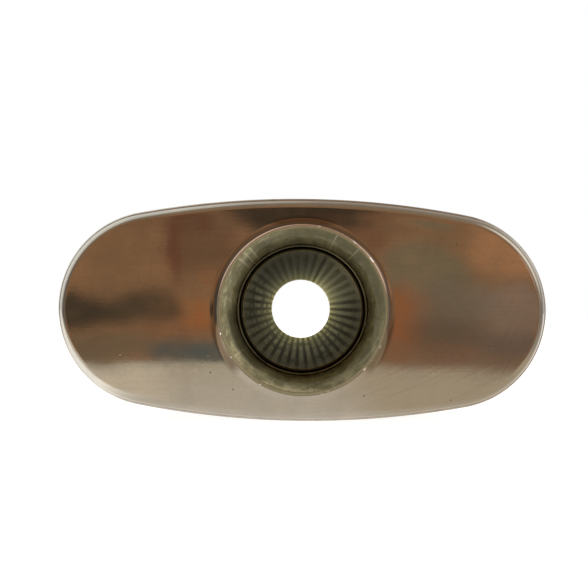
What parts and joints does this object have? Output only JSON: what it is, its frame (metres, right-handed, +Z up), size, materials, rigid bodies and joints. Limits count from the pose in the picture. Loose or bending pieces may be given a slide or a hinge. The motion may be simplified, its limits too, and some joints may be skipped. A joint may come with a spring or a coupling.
{
  "type": "straight-through exhaust muffler",
  "caption": "Oval stainless muffler with flat pressed end caps, drawn collars, central slip-on necks and a straight perforated core in packing.",
  "frame": {"origin": "on the pipe axis, half way along the body", "axes": "+Y along the pipe axis from the inlet to the outlet, +X the broad way across the oval, +Z up"},
  "size_m": [0.2286, 0.45, 0.1042],
  "materials": {
    "polished_stainless": "polished, warm grey, with fine buffing lines",
    "ground_weld": "ground and polished weld",
    "brushed_tube": "satin drawn tube",
    "weld_bead": "rippled weld with a faint heat tint",
    "sleeve_steel": "dull pressed sheet",
    "core_steel": "dull perforated sheet",
    "steel_wool": "loose steel wool",
    "packing_fibre": "loose white fibre"
  },
  "bodies": {
    "root": {"outer_shell": "polished_stainless", "shell_seam_weld": "ground_weld", "inlet_end_cap": "polished_stainless", "outlet_end_cap": "polished_stainless", "inlet_cap_weld": "ground_weld", "outlet_cap_weld": "ground_weld", "inlet_neck": "brushed_tube", "outlet_neck": "brushed_tube", "inlet_neck_weld": "weld_bead", "outlet_neck_weld": "weld_bead", "inlet_core_sleeve": "sleeve_steel", "outlet_core_sleeve": "sleeve_steel", "perforated_core": "core_steel", "steel_wool_wrap": "steel_wool", "fibre_wrap": "packing_fibre", "left_fibre_pad": "packing_fibre", "right_fibre_pad": "packing_fibre"}
  },
  "joints": []
}
